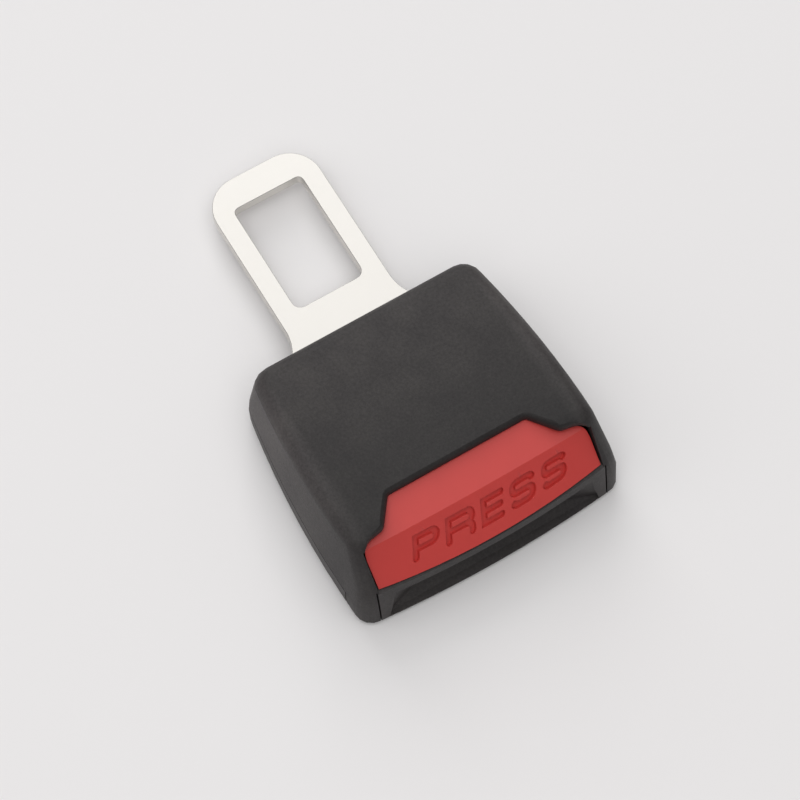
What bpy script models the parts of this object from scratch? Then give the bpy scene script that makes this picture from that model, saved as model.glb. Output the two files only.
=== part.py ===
"""Rigid seat belt extender: a steel tongue on one end, a push-button buckle on the other.

Frame: the origin is the centre of the housing's flat underside, +X points to the mouth
and the press button, -X along the steel tongue, +Z up. Sizes are in millimetres and are
turned to metres where the meshes are made.
"""

import math

import bmesh
import bpy
from mathutils import Matrix, Vector

MM = 0.001
OBJECT_NAME = "seat_belt_extender"
SIDES = (("left", 1), ("right", -1))

# Clearances
SEAT_GAP = 0.3          # between pieces that rest on each other
SLIDE_GAP = 0.35        # around the sliding button
PIN_GAP = 0.3           # radial, around pins and rivets

# Housing envelope
HALF_WIDTH = 27.3       # at the widest place, on the seam
WIDEST_X = 12.0
REAR_NARROWING = 3.4
FRONT_NARROWING = 0.2
UNDER_TAPER = 0.1       # each side of the tray, from the seam down to its rolled edge
REAR_X = -23.9          # rear wall at the seam
REAR_DRAFT = 0.1        # millimetres in per millimetre up
SIDE_DRAFT = 0.16
SEAM_Z = 6.0
LIP_X = 25.4            # front lip at the floor
LIP_BOW = 1.5
SILL_X = 24.3           # front wall where the button's lower edge lies
SILL_Z = 11.2
SILL_BOW = 2.0
CREST_X = 16.5          # the roof ends here and the front slope begins
REAR_TOP_X = -22.75
REAR_TOP_Z = 16.8
ROOF_SLOPE = 0.12
REAR_CORNER_RADIUS = 4.5
REAR_CORNER_TOP_RADIUS = 3.2
FRONT_CORNER_RADIUS = 3.3
FRONT_CORNER_TOP_RADIUS = 2.6
BOTTOM_ROLL = 1.2
TOP_ROLL = 2.3
WALL = 2.0
FLOOR = 1.4
EAR_X = 17.9            # the upper shell's corner ears start here
MOUTH_REAR_X = 19.6     # rear face of the mouth block
MOUTH_REAR_CORNER = 1.0

# Opening for the button: its corners on one side, and how far they lie inside that side
OPENING_BACK_X = 10.5
OPENING_BACK_INSET = 8.8
OPENING_NOTCH_X = 15.6
OPENING_NOTCH_INSET = 4.9
OPENING_SHOULDER_X = 16.5
OPENING_RADII = (0.8, 1.5, 3.0)
RIM_ROLL = 1.3          # rolled edge round the opening
RIM_DEPTH = 4.6

# Steel plates
FRAME_THICKNESS = 1.6
FRAME_INNER_HALF = 12.0
FRAME_WALL = 2.0
FRAME_BEND_RADIUS = 2.4
FRAME_WALL_TOP = 6.9
FRAME_EAR_TOP = 11.9
FRAME_EAR_X = (-17.4, -9.8)
FRAME_EAR_RADIUS = 2.6
FRAME_EAR_FOOT = 2.0
NOSE_SLOT_GAP = 0.7
TONGUE_THICKNESS = 2.5
TONGUE_TIP_X = -62.7
TONGUE_HALF = 11.0
TONGUE_CORNER_RADIUS = 6.5
TONGUE_WINDOW_X = (-56.9, -33.4)
TONGUE_WINDOW_HALF = 7.2
WINDOW_TIP_RADIUS = 1.1
WINDOW_ROOT_RADIUS = 1.7
FLARE_X = -30.9
FLARE_RADIUS = 9.0
TONGUE_SHOULDER_HALF = 15.2
TONGUE_SHOULDER_END_X = -18.0
TONGUE_ROOT_HALF = 11.6
TONGUE_ROOT_X = -16.2
RIVET_X = -18.9
RIVET_Y = 7.0
RIVET_RADIUS = 1.6
RIVET_HEAD_RADIUS = 2.5
RIVET_HEAD_HEIGHT = 1.0
RIVET_HEAD_CHAMFER = 0.8

# Belt tongue that the mouth takes
BELT_TONGUE_HALF = 11.0
THROAT_SIDE_GAP = 0.9
THROAT_LEAD = 0.15      # the throat's floor above the channel's, so a tongue drops in
THROAT_HEIGHT = 4.2
THROAT_X = 20.8
FUNNEL_X = 23.6
FUNNEL_Z = (1.4, 8.0)
CHEEK = 1.7             # the funnel's ends lie this far inside the ears at the floor
CHEEK_LEAN = 1.5

# Latch
LATCH_THICKNESS = 1.8
LATCH_GAP = 0.6         # above the tops of the channel's walls
PIVOT_X = -13.5
PIVOT_RISE = 0.3        # pin centre above the latch's upper side
PIN_RADIUS = 1.5
PIN_HEAD_RADIUS = 2.3
PIN_HEAD = 0.9
PIN_HEAD_CHAMFER = 0.5
LATCH_HALF = 9.0
LATCH_EAR = 2.0
LATCH_EAR_WALL = 1.1    # steel round the pin hole
WING_X = (1.6, 5.1)
WING_FILLET = 1.4
NOSE_X = (2.1, 5.1)
NOSE_HALF = 5.0
NOSE_SINK = 1.0         # the nose reaches this far into the frame's slot
NOSE_RAMP = 1.6
NOSE_RAMP_SLOPE = 1.5
LATCH_SWING_DEG = 15.0

# Ejector
EJECTOR_HEIGHT = 3.0
EJECTOR_X = (-7.5, -0.5)
EJECTOR_CHAMFER = 1.0
PRONG_TIP_X = 4.0
PRONG_INNER = 6.0
PRONG_WIDTH = 4.6
SPRING_SLOT_HALF = 2.0
SPRING_SLOT_END_X = -1.8

# Button
BUTTON_TRAVEL = 4.0
BUTTON_TOP_Z = 18.9
BUTTON_CREASE_X = 15.9
BUTTON_CREASE_RADIUS = 3.5
BUTTON_BOTTOM_Z = 11.6
BUTTON_BOTTOM_X = 24.1
BUTTON_BOTTOM_BOW = 1.9
BUTTON_SIDE_MARGIN = 4.5  # from the housing's widest side to the button's side
BUTTON_TUCK = 0.7       # how far the button reaches under the opening's back edge
BUTTON_WALL = 1.8
ARM_GAP = 0.5
ARM_THICKNESS = 2.4
ARM_TIP_X = 2.7
ARM_REACH = 1.0         # the arms end this far in front of the opening's notches
ARM_SINK = 1.2          # and this far below the button's upper face
RAMP_TOP_X = 9.0
RAMP_STEP = 0.5
WEB_Z = (8.6, 10.4)
FOOT_X = (8.0, 9.6)

# Springs
BUTTON_SPRING_Z = 6.5
BUTTON_SPRING_RADIUS = 1.6
BUTTON_SPRING_WIRE = 0.6
BUTTON_SPRING_TURNS = 8
SPRING_STOP_X = (-11.5, -9.9)
SPRING_STOP_TOP = 8.9
SPRING_POST_RADIUS = 0.9
SPRING_POST_LENGTH = 3.0
EJECTOR_SPRING_RADIUS = 1.4
EJECTOR_SPRING_WIRE = 0.45
EJECTOR_SPRING_TURNS = 9
LATCH_SPRING_X = -5.0
LATCH_SPRING_RADIUS = 2.1
LATCH_SPRING_WIRE = 0.4
LATCH_SPRING_TURNS = 3
LATCH_BOSS_RADIUS = 3.2
LATCH_BOSS_Z = 14.3
LATCH_POST_RADIUS = 1.2
LATCH_POST_LENGTH = 1.4

# Pegs that line the two shells up at the rear
PEG_X = -17.0
PEG_SIDE_MARGIN = 7.5
PEG_RADIUS = 1.3
PEG_LENGTH = 3.5
PEG_POST_RADIUS = 2.5
PEG_POST_TOP = 9.0
PEG_GAP = 0.25

# Heights and widths that follow
FRAME_Z = FLOOR + SEAT_GAP
CHANNEL_Z = FRAME_Z + FRAME_THICKNESS
TONGUE_Z = CHANNEL_Z + SEAT_GAP
TONGUE_TOP = TONGUE_Z + TONGUE_THICKNESS
THROAT_Z = CHANNEL_Z + THROAT_LEAD
THROAT_HALF = BELT_TONGUE_HALF + THROAT_SIDE_GAP
LATCH_Z = FRAME_WALL_TOP + LATCH_GAP
LATCH_TOP = LATCH_Z + LATCH_THICKNESS
PIVOT_Z = LATCH_TOP + PIVOT_RISE
NOSE_TIP_Z = CHANNEL_Z - NOSE_SINK
FRAME_HALF = FRAME_INNER_HALF + FRAME_WALL
FRAME_X = (REAR_X + WALL + SEAT_GAP, MOUTH_REAR_X - SEAT_GAP)
BUTTON_HALF = HALF_WIDTH - BUTTON_SIDE_MARGIN
OPENING_HALF = BUTTON_HALF + SLIDE_GAP
EAR_Y = OPENING_HALF + SLIDE_GAP
ARM_Y = (FRAME_HALF + ARM_GAP, FRAME_HALF + ARM_GAP + ARM_THICKNESS)
ARM_END_X = OPENING_NOTCH_X + ARM_REACH
WING_HALF = ARM_Y[1]
EJECTOR_HALF = FRAME_INNER_HALF - SLIDE_GAP
PRONG_OUTER = PRONG_INNER + PRONG_WIDTH
SPRING_SEAT_HALF = BUTTON_SPRING_RADIUS + BUTTON_SPRING_WIRE / 2
PEG_Y = HALF_WIDTH - PEG_SIDE_MARGIN
FAR = 60.0              # reach of cutters beyond the part


# Collections and materials

def clear_scene():
    for item in list(bpy.data.objects):
        bpy.data.objects.remove(item, do_unlink=True)


def new_collection(name):
    made = bpy.data.collections.new(name)
    bpy.context.scene.collection.children.link(made)
    return made


def new_material(name, colour, roughness, metallic=0.0):
    material = bpy.data.materials.new(name)
    material.use_nodes = True
    shader = material.node_tree.nodes["Principled BSDF"]
    shader.inputs["Base Color"].default_value = (*colour, 1.0)
    shader.inputs["Roughness"].default_value = roughness
    shader.inputs["Metallic"].default_value = metallic
    return material


# Solid helpers: each takes millimetres and returns an object

def add_object(name, mesh, group, origin=(0.0, 0.0, 0.0)):
    made = bpy.data.objects.new(name, mesh)
    place = Vector(origin) * MM
    mesh.transform(Matrix.Translation(-place))
    made.location = place
    group.objects.link(made)
    return made


def mesh_from(name, built):
    bmesh.ops.recalc_face_normals(built, faces=built.faces)
    mesh = bpy.data.meshes.new(name)
    built.to_mesh(mesh)
    built.free()
    return mesh


def loft(name, rings, group, origin=(0.0, 0.0, 0.0)):
    """A closed solid through rings of equally many points."""
    built = bmesh.new()
    rows = [[built.verts.new(Vector(p) * MM) for p in ring] for ring in rings]
    count = len(rows[0])
    for low, high in zip(rows, rows[1:]):
        for i in range(count):
            j = (i + 1) % count
            built.faces.new((low[i], low[j], high[j], high[i]))
    built.faces.new(list(reversed(rows[0])))
    built.faces.new(rows[-1])
    return add_object(name, mesh_from(name, built), group, origin)


def box(name, x, y, z, group):
    built = bmesh.new()
    size = Vector((x[1] - x[0], y[1] - y[0], z[1] - z[0])) * MM
    centre = Vector((x[0] + x[1], y[0] + y[1], z[0] + z[1])) * (MM / 2)
    shape = Matrix.Translation(centre) @ Matrix.Diagonal((*size, 1.0))
    bmesh.ops.create_cube(built, size=1.0, matrix=shape)
    return add_object(name, mesh_from(name, built), group)


def cylinder(name, start, end, radius, group, sides=24, end_radius=None):
    built = bmesh.new()
    a = Vector(start) * MM
    b = Vector(end) * MM
    turn = (b - a).to_track_quat("Z", "Y").to_matrix().to_4x4()
    bmesh.ops.create_cone(built, cap_ends=True, segments=sides, depth=(b - a).length,
                          radius1=radius * MM, radius2=(end_radius or radius) * MM,
                          matrix=Matrix.Translation((a + b) / 2) @ turn)
    return add_object(name, mesh_from(name, built), group)


def curve_to_mesh(name, curve, placing, group, weld=0.00001):
    holder = bpy.data.objects.new(name + "_curve", curve)
    group.objects.link(holder)
    bpy.context.view_layer.update()
    depsgraph = bpy.context.evaluated_depsgraph_get()
    mesh = bpy.data.meshes.new_from_object(holder.evaluated_get(depsgraph))
    bpy.data.objects.remove(holder, do_unlink=True)
    bpy.data.curves.remove(curve)
    mesh.transform(placing)
    built = bmesh.new()
    built.from_mesh(mesh)
    bmesh.ops.remove_doubles(built, verts=built.verts, dist=weld)
    bmesh.ops.dissolve_limit(built, angle_limit=0.001, verts=built.verts, edges=built.edges)
    bmesh.ops.recalc_face_normals(built, faces=built.faces)
    built.to_mesh(mesh)
    built.free()
    return mesh


def slab(name, outlines, low, high, group, axis="Z", origin=(0.0, 0.0, 0.0)):
    """A flat outline, with holes, made thick along an axis.

    Outline points are (x, y) along Z, (x, z) along Y and (y, z) along X.
    """
    curve = bpy.data.curves.new(name, "CURVE")
    curve.dimensions = "2D"
    curve.fill_mode = "BOTH"
    curve.extrude = (high - low) / 2 * MM
    for outline in outlines:
        spline = curve.splines.new("POLY")
        spline.points.add(len(outline) - 1)
        for point, (u, v) in zip(spline.points, outline):
            point.co = (u * MM, v * MM, 0.0, 1.0)
        spline.use_cyclic_u = True
    middle = (low + high) / 2 * MM
    placing = {
        "Z": Matrix.Translation((0.0, 0.0, middle)),
        "Y": Matrix(((1, 0, 0, 0), (0, 0, -1, middle), (0, 1, 0, 0), (0, 0, 0, 1))),
        "X": Matrix(((0, 0, 1, middle), (1, 0, 0, 0), (0, 1, 0, 0), (0, 0, 0, 1))),
    }[axis]
    return add_object(name, curve_to_mesh(name, curve, placing, group), group, origin)


def boolean(target, tool, operation="DIFFERENCE"):
    modifier = target.modifiers.new(tool.name, "BOOLEAN")
    modifier.operation = operation
    modifier.solver = "EXACT"
    modifier.object = tool
    tool.hide_render = True
    tool.display_type = "WIRE"


def bevel(target, width, segments, angle_deg):
    modifier = target.modifiers.new("rounded edges", "BEVEL")
    modifier.width = width * MM
    modifier.segments = segments
    modifier.limit_method = "ANGLE"
    modifier.angle_limit = math.radians(angle_deg)


def finish(part, material, group):
    """Give the piece its material and leave it alone in the part's collection."""
    part.data.materials.clear()
    part.data.materials.append(material)
    for holder in list(part.users_collection):
        holder.objects.unlink(part)
    group.objects.link(part)
    return part


# Outline helpers

def mirrored(points):
    """Closes a half outline given on the +y side, first and last point off the axis."""
    return points + [(x, -y) for x, y in reversed(points)]


def arc(centre, radius, start_deg, end_deg, steps):
    turn = math.radians(end_deg - start_deg)
    start = math.radians(start_deg)
    angles = [start + turn * i / steps for i in range(steps + 1)]
    return [(centre[0] + radius * math.cos(a), centre[1] + radius * math.sin(a))
            for a in angles]


def circle(centre, radius, steps=20):
    return arc(centre, radius, 0.0, 360.0, steps)[:-1]


def between(low, high, share):
    return low + (high - low) * share


def rounded(points, radii, steps=4):
    """An open path with its inner corners rounded."""
    path = [points[0]]
    for before, corner, after, radius in zip(points, points[1:], points[2:], radii):
        here = Vector(corner)
        back = (Vector(before) - here).normalized()
        ahead = (Vector(after) - here).normalized()
        half_angle = back.angle(ahead) / 2
        reach = radius / math.tan(half_angle)
        middle = here + (back + ahead).normalized() * (radius / math.sin(half_angle))
        start = here + back * reach - middle
        turn = start.angle_signed(here + ahead * reach - middle)
        for i in range(steps + 1):
            spoke = start.copy()
            spoke.rotate(Matrix.Rotation(-turn * i / steps, 2))
            path.append(tuple(middle + spoke))
    path.append(points[-1])
    return path


def roof_z(x):
    return REAR_TOP_Z + ROOF_SLOPE * (x - REAR_TOP_X)


CREST_Z = roof_z(CREST_X)
FRONT_SLOPE = (SILL_X - CREST_X) / (CREST_Z - SILL_Z)


def side_half(x):
    """Half width of the housing on its seam."""
    if x > WIDEST_X:
        return HALF_WIDTH - FRONT_NARROWING * (x - WIDEST_X) / (LIP_X - WIDEST_X)
    return HALF_WIDTH - REAR_NARROWING * ((WIDEST_X - x) / (WIDEST_X - REAR_X)) ** 2


BUTTON_SPRING_Y = (ARM_Y[1] + side_half(SPRING_STOP_X[0]) - WALL) / 2


def housing_ring(z, inset, front_x, bow, rear_radius, front_radius):
    """One level of the housing: rounded rear corners, curved sides and a bowed front."""
    rear_x = REAR_X + REAR_DRAFT * max(0.0, z - SEAM_Z) + inset
    spread = inset + SIDE_DRAFT * max(0.0, z - SEAM_Z)

    def front(y):
        return front_x - bow * (y / HALF_WIDTH) ** 2

    rear_centre_x = rear_x + rear_radius
    rear_centre_y = side_half(rear_centre_x) - spread - rear_radius
    front_centre_y = side_half(front_x) - spread - front_radius
    front_centre_x = front(front_centre_y) - front_radius
    half = arc((rear_centre_x, rear_centre_y), rear_radius, 180.0, 90.0, 4)
    for i in range(1, 8):
        x = between(rear_centre_x, front_centre_x, i / 8)
        half.append((x, side_half(x) - spread))
    half += arc((front_centre_x, front_centre_y), front_radius, 90.0, 0.0, 4)
    for i in range(1, 5):
        y = front_centre_y * (1.0 - i / 5)
        half.append((front(y), y))
    ring = half + [(front(0.0), 0.0)] + [(x, -y) for x, y in reversed(half)]
    return [(x, y, z) for x, y in ring]


def housing_body(name, group):
    """The outer form: drafted sides, sloping roof and front, rolled edges."""
    top_z = CREST_Z + TOP_ROLL
    rings = []
    for degrees in (0.0, 30.0, 60.0, 90.0):
        inset = UNDER_TAPER + BOTTOM_ROLL * (1.0 - math.sin(math.radians(degrees)))
        z = BOTTOM_ROLL * (1.0 - math.cos(math.radians(degrees)))
        rings.append(housing_ring(z, inset, LIP_X - inset, LIP_BOW,
                                  REAR_CORNER_RADIUS, FRONT_CORNER_RADIUS))
    seam_share = (SEAM_Z - BOTTOM_ROLL) / (SILL_Z - BOTTOM_ROLL)
    rings.append(housing_ring(SEAM_Z, 0.0, between(LIP_X, SILL_X, seam_share),
                              between(LIP_BOW, SILL_BOW, seam_share),
                              REAR_CORNER_RADIUS, FRONT_CORNER_RADIUS))
    sill_share = (SILL_Z - SEAM_Z) / (top_z - SEAM_Z)
    rings.append(housing_ring(SILL_Z, 0.0, SILL_X, SILL_BOW,
                              between(REAR_CORNER_RADIUS, REAR_CORNER_TOP_RADIUS, sill_share),
                              FRONT_CORNER_RADIUS))
    rings.append(housing_ring(top_z, 0.0, CREST_X - FRONT_SLOPE * (top_z - CREST_Z), 0.0,
                              REAR_CORNER_TOP_RADIUS, FRONT_CORNER_TOP_RADIUS))
    body = loft(name, rings, group)
    trim_to_roof(body, 0.0)
    bevel(body, TOP_ROLL, 3, 42.0)
    return body


def trim_to_roof(body, drop):
    """Cuts everything above the sloping roof plane, lowered by drop."""
    built = bmesh.new()
    built.from_mesh(body.data)
    geometry = built.verts[:] + built.edges[:] + built.faces[:]
    cut = bmesh.ops.bisect_plane(built, geom=geometry, dist=0.0000001,
                                 plane_co=Vector((REAR_TOP_X, 0.0, REAR_TOP_Z - drop)) * MM,
                                 plane_no=Vector((-ROOF_SLOPE, 0.0, 1.0)),
                                 clear_outer=True)
    rim = [item for item in cut["geom_cut"] if isinstance(item, bmesh.types.BMEdge)]
    bmesh.ops.edgeloop_fill(built, edges=rim)
    bmesh.ops.recalc_face_normals(built, faces=built.faces)
    built.to_mesh(body.data)
    built.free()


def housing_cavity(name, group):
    """The hollow of both shells, one wall inside the outer form."""
    levels = (FLOOR, SEAM_Z, SILL_Z, CREST_Z)
    fronts = (MOUTH_REAR_X, MOUTH_REAR_X, MOUTH_REAR_X, CREST_X - WALL)
    rings = [housing_ring(z, WALL, front, 0.0, REAR_CORNER_RADIUS - WALL, MOUTH_REAR_CORNER)
             for z, front in zip(levels, fronts)]
    cavity = loft(name, rings, group)
    trim_to_roof(cavity, WALL)
    return cavity


# Button and its opening

def opening_path(half, end_x):
    """The opening's outline on one side, from its rounded back corner to the front."""
    corners = [(OPENING_BACK_X, 0.0), (OPENING_BACK_X, BUTTON_HALF - OPENING_BACK_INSET),
               (OPENING_NOTCH_X, BUTTON_HALF - OPENING_NOTCH_INSET),
               (OPENING_SHOULDER_X, half), (end_x, half)]
    return rounded(corners, OPENING_RADII)[1:]


def button_plan(grow, back_shift):
    """The button's outline from above, grown all round and with its rear moved back."""
    shift = BUTTON_TUCK + back_shift + grow
    half = [(x - shift, y + grow) for x, y in opening_path(BUTTON_HALF, LIP_X + FAR)]
    return mirrored(half)


def press_front_x(y):
    return BUTTON_BOTTOM_X - BUTTON_BOTTOM_BOW * (y / BUTTON_HALF) ** 2


def button_form(name, group):
    """The button's outer form: level upper face, crease and bowed press face."""
    count = 12
    rings = []
    for i in range(count + 1):
        y = between(-BUTTON_HALF - 1.0, BUTTON_HALF + 1.0, i / count)
        corners = [(0.0, BUTTON_TOP_Z), (BUTTON_CREASE_X, BUTTON_TOP_Z),
                   (press_front_x(y), BUTTON_BOTTOM_Z)]
        profile = [(0.0, BUTTON_BOTTOM_Z)] + rounded(corners, (BUTTON_CREASE_RADIUS,), 3)
        rings.append([(x, y, z) for x, z in profile])
    form = loft(name, rings, group)
    plan = slab(name + "_plan", [button_plan(0.0, 0.0)], BUTTON_BOTTOM_Z - 1.0,
                CREST_Z + 1.0, group)
    boolean(form, plan, "INTERSECT")
    return form


def button_hollow(name, group):
    """The space inside the button, open below."""
    press_wall = BUTTON_WALL * (BUTTON_BOTTOM_X - BUTTON_CREASE_X) / (BUTTON_TOP_Z - BUTTON_BOTTOM_Z)
    front = BUTTON_BOTTOM_X - BUTTON_BOTTOM_BOW - press_wall
    top_x = BUTTON_CREASE_X - BUTTON_WALL / 2
    top_z = BUTTON_TOP_Z - BUTTON_WALL
    profile = [(0.0, 0.0), (0.0, top_z), (top_x, top_z), (front, BUTTON_BOTTOM_Z), (front, 0.0)]
    hollow = slab(name, [profile], -BUTTON_HALF, BUTTON_HALF, group, "Y")
    plan = slab(name + "_plan", [button_plan(-BUTTON_WALL, 0.0)], -1.0, CREST_Z, group)
    boolean(hollow, plan, "INTERSECT")
    return hollow


def button_pocket(name, group):
    """The room that the button needs at rest and pressed."""
    return slab(name, [button_plan(SLIDE_GAP, BUTTON_TRAVEL)], SILL_Z, BUTTON_TOP_Z + SLIDE_GAP, group)


def offset_path(points, distance):
    """An open path moved sideways, to its left, with mitred corners."""
    moved = []
    for i, point in enumerate(points):
        here = Vector(point)
        normals = []
        for a, b in ((i - 1, i), (i, i + 1)):
            if a >= 0 and b < len(points):
                along = (Vector(points[b]) - Vector(points[a])).normalized()
                normals.append(Vector((-along.y, along.x)))
        middle = sum(normals, Vector((0.0, 0.0))).normalized()
        moved.append(here + middle * (distance / middle.dot(normals[0])))
    return moved


def surface_z(x):
    """The housing's outer surface over the button: roof, then the front slope."""
    return min(roof_z(x), CREST_Z - (x - CREST_X) / FRONT_SLOPE)


def rim_cutter(name, group):
    """The visible button opening with its rolled edge, wider towards the surface."""
    half = opening_path(OPENING_HALF, LIP_X + RIM_DEPTH)
    path = list(reversed(half)) + [(x, -y) for x, y in half]
    turns = [math.radians(degrees) for degrees in (0.0, 22.5, 45.0, 67.5, 90.0)]
    steps = [(RIM_DEPTH, 0.0)]
    steps += [(RIM_ROLL * (1.0 - math.sin(turn)), RIM_ROLL * (1.0 - math.cos(turn))) for turn in turns]
    steps.append((-RIM_DEPTH, RIM_ROLL))
    rings = []
    for depth, grow in steps:
        moved = offset_path(path, -grow)
        rings.append([(p.x, p.y, surface_z(q[0]) - depth) for p, q in zip(moved, path)])
    return loft(name, rings, group)


# Pieces

def tongue_slot(name, group):
    side = TONGUE_SHOULDER_HALF + SEAT_GAP
    return box(name, (REAR_X - WALL, REAR_X + 2.0 * WALL), (-side, side),
               (CHANNEL_Z, TONGUE_TOP + SEAT_GAP), group)


def make_upper_housing(material, parts, cutters):
    shell = housing_body("upper_housing", cutters)
    half_gap = SEAT_GAP / 2
    tools = [
        housing_cavity("upper_cavity", cutters),
        box("upper_below_seam", (-FAR, EAR_X + half_gap), (-FAR, FAR),
            (-FAR, SEAM_Z + half_gap), cutters),
        box("upper_between_ears", (EAR_X - half_gap, FAR), (-EAR_Y - half_gap, EAR_Y + half_gap),
            (-FAR, SILL_Z + half_gap), cutters),
        button_pocket("upper_pocket", cutters),
        rim_cutter("upper_rim", cutters),
        tongue_slot("upper_tongue_slot", cutters),
    ]
    for tool in tools:
        boolean(shell, tool)
    boss = cylinder("latch_spring_boss", (LATCH_SPRING_X, 0.0, LATCH_BOSS_Z),
                    (LATCH_SPRING_X, 0.0, roof_z(LATCH_SPRING_X) - WALL / 2), LATCH_BOSS_RADIUS, cutters)
    post = cylinder("latch_spring_post", (LATCH_SPRING_X, 0.0, LATCH_BOSS_Z - LATCH_POST_LENGTH),
                    (LATCH_SPRING_X, 0.0, LATCH_BOSS_Z + LATCH_POST_RADIUS), LATCH_POST_RADIUS, cutters, 16)
    boolean(boss, post, "UNION")
    boolean(shell, boss, "UNION")
    for side, sign in SIDES:
        y = sign * PEG_Y
        low = PEG_POST_TOP + SEAT_GAP
        sleeve = cylinder("peg_sleeve_" + side, (PEG_X, y, low), (PEG_X, y, roof_z(PEG_X) - WALL / 2),
                          PEG_POST_RADIUS, cutters, 20)
        bore = cylinder("peg_bore_" + side, (PEG_X, y, low - 1.0), (PEG_X, y, low + PEG_LENGTH),
                        PEG_RADIUS + PEG_GAP, cutters, 16)
        boolean(sleeve, bore)
        boolean(shell, sleeve, "UNION")
    return finish(shell, material, parts)


def make_lower_housing(material, parts, cutters):
    shell = housing_body("lower_housing", cutters)
    half_gap = SEAT_GAP / 2
    throat = (THROAT_Z, THROAT_Z + THROAT_HEIGHT)
    tools = [
        housing_cavity("lower_cavity", cutters),
        box("lower_above_seam", (-FAR, MOUTH_REAR_X - SEAT_GAP), (-FAR, FAR),
            (SEAM_Z - half_gap, FAR), cutters),
        box("lower_above_sill", (EAR_X - WALL, FAR), (-FAR, FAR), (SILL_Z, FAR), cutters),
        box("lower_left_ear", (EAR_X - half_gap, FAR), (EAR_Y - half_gap, FAR), (-FAR, FAR), cutters),
        box("lower_right_ear", (EAR_X - half_gap, FAR), (-FAR, -EAR_Y + half_gap), (-FAR, FAR), cutters),
        tongue_slot("lower_tongue_slot", cutters),
        loft("mouth_funnel", [mouth_ring(MOUTH_REAR_X - WALL, THROAT_HALF, 0.0, throat),
                              mouth_ring(THROAT_X, THROAT_HALF, 0.0, throat),
                              mouth_ring(FUNNEL_X, EAR_Y - CHEEK, CHEEK_LEAN, FUNNEL_Z),
                              mouth_ring(LIP_X + WALL, EAR_Y - CHEEK, CHEEK_LEAN, FUNNEL_Z)], cutters),
    ]
    for tool in tools:
        boolean(shell, tool)
    for side, sign in SIDES:
        y = sign * BUTTON_SPRING_Y
        stop = box("spring_stop_" + side, SPRING_STOP_X, (y - SPRING_SEAT_HALF, y + SPRING_SEAT_HALF),
                   (FLOOR / 2, SPRING_STOP_TOP), cutters)
        post = cylinder("spring_post_" + side, (SPRING_STOP_X[0] + SEAT_GAP, y, BUTTON_SPRING_Z),
                        (SPRING_STOP_X[1] + SPRING_POST_LENGTH, y, BUTTON_SPRING_Z),
                        SPRING_POST_RADIUS, cutters, 16)
        boolean(stop, post, "UNION")
        boolean(shell, stop, "UNION")
        y = sign * PEG_Y
        peg_post = cylinder("peg_post_" + side, (PEG_X, y, FLOOR / 2), (PEG_X, y, PEG_POST_TOP),
                            PEG_POST_RADIUS, cutters, 20)
        peg = cylinder("peg_" + side, (PEG_X, y, FLOOR), (PEG_X, y, PEG_POST_TOP + PEG_LENGTH),
                       PEG_RADIUS, cutters, 16)
        boolean(peg_post, peg, "UNION")
        boolean(shell, peg_post, "UNION")
    return finish(shell, material, parts)


def mouth_ring(x, half, lean, z):
    """A section of the mouth, narrower at its top by lean on each side."""
    return [(x, -half, z[0]), (x, half, z[0]), (x, half - lean, z[1]), (x, -half + lean, z[1])]


def make_release_button(material, parts, cutters):
    button = button_form("release_button", cutters)
    boolean(button, button_hollow("button_hollow", cutters))
    top = BUTTON_TOP_Z - ARM_SINK
    ramp_z = ramp_height(RAMP_TOP_X)
    profile = [(ARM_TIP_X, TONGUE_Z), (ARM_END_X, TONGUE_Z), (ARM_END_X, top),
               (RAMP_TOP_X + RAMP_STEP, top), (RAMP_TOP_X + RAMP_STEP, ramp_z), (RAMP_TOP_X, ramp_z)]
    for side, sign in SIDES:
        inner, outer = sorted((sign * ARM_Y[0], sign * ARM_Y[1]))
        arm = slab("button_arm_" + side, [profile], inner, outer, cutters, "Y")
        y = sign * BUTTON_SPRING_Y
        foot = box("button_foot_" + side, FOOT_X, (y - SPRING_SEAT_HALF, y + SPRING_SEAT_HALF),
                   (TONGUE_Z, WEB_Z[1]), cutters)
        web = box("button_web_" + side, FOOT_X, sorted((sign * (ARM_Y[0] + ARM_THICKNESS / 2), y)),
                  WEB_Z, cutters)
        boolean(button, arm, "UNION")
        boolean(button, web, "UNION")
        boolean(button, foot, "UNION")
    return finish(button, material, parts)


def ramp_height(x):
    """Height of the lifting ramps at rest, just under the latch's wings."""
    swing = math.radians(LATCH_SWING_DEG)
    reach = WING_X[1] - PIVOT_X
    fall = PIVOT_Z - LATCH_Z
    rise = reach * math.sin(swing) + fall * (1.0 - math.cos(swing))
    return LATCH_Z - 2.0 * SEAT_GAP + rise * (x - WING_X[1]) / BUTTON_TRAVEL


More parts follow.
